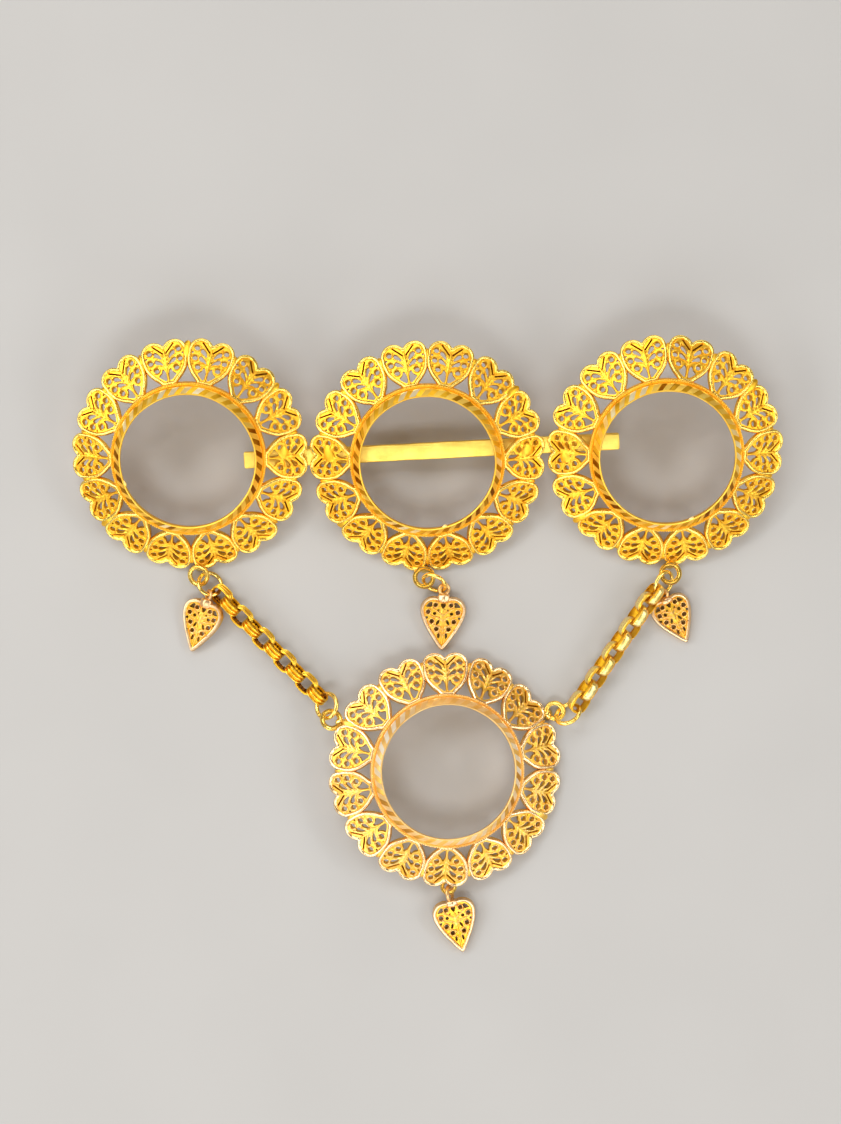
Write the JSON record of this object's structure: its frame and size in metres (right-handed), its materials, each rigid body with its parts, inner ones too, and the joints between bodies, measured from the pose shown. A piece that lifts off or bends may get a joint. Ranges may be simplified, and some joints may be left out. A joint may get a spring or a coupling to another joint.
{
  "type": "coin brooch",
  "caption": "Gold brooch of open coin frames edged with pierced hearts: a row on a back bar, another hung below it on belcher chains, and small heart drops.",
  "frame": {"origin": "middle of the outline, on the surface that the brooch lies on", "axes": "+X along the row to the right as seen, +Y up the piece towards the row, +Z out of its face"},
  "size_m": [0.1138, 0.0991, 0.0134],
  "materials": {
    "pierced_gold": "high-carat yellow gold, matte pierced field with polished borders and a diamond-cut bezel",
    "wire_gold": "pale yellow gold, drawn and brushed",
    "chain_gold": "polished yellow gold, ribbed belcher links",
    "drop_gold": "yellow gold field with a polished rose-tinted border"
  },
  "bodies": {
    "root": {"frame_left": "pierced_gold", "frame_center": "pierced_gold", "frame_right": "pierced_gold", "frame_pendant": "pierced_gold", "back_bar": "wire_gold", "brooch_pin": "wire_gold", "jump_ring_left": "wire_gold", "jump_ring_center": "wire_gold", "jump_ring_right": "wire_gold", "chain_ring_left": "wire_gold", "chain_ring_right": "wire_gold", "drop_left": "drop_gold", "drop_center": "drop_gold", "drop_right": "drop_gold", "drop_pendant": "drop_gold", "link_left_01": "chain_gold", "link_left_02": "chain_gold", "link_left_03": "chain_gold", "link_left_04": "chain_gold", "link_left_05": "chain_gold", "link_left_06": "chain_gold", "link_left_07": "chain_gold", "link_left_08": "chain_gold", "link_left_09": "chain_gold", "link_left_10": "chain_gold", "link_right_01": "chain_gold", "link_right_02": "chain_gold", "link_right_03": "chain_gold", "link_right_04": "chain_gold", "link_right_05": "chain_gold", "link_right_06": "chain_gold", "link_right_07": "chain_gold", "link_right_08": "chain_gold", "link_right_09": "chain_gold", "link_right_10": "chain_gold"}
  },
  "joints": []
}
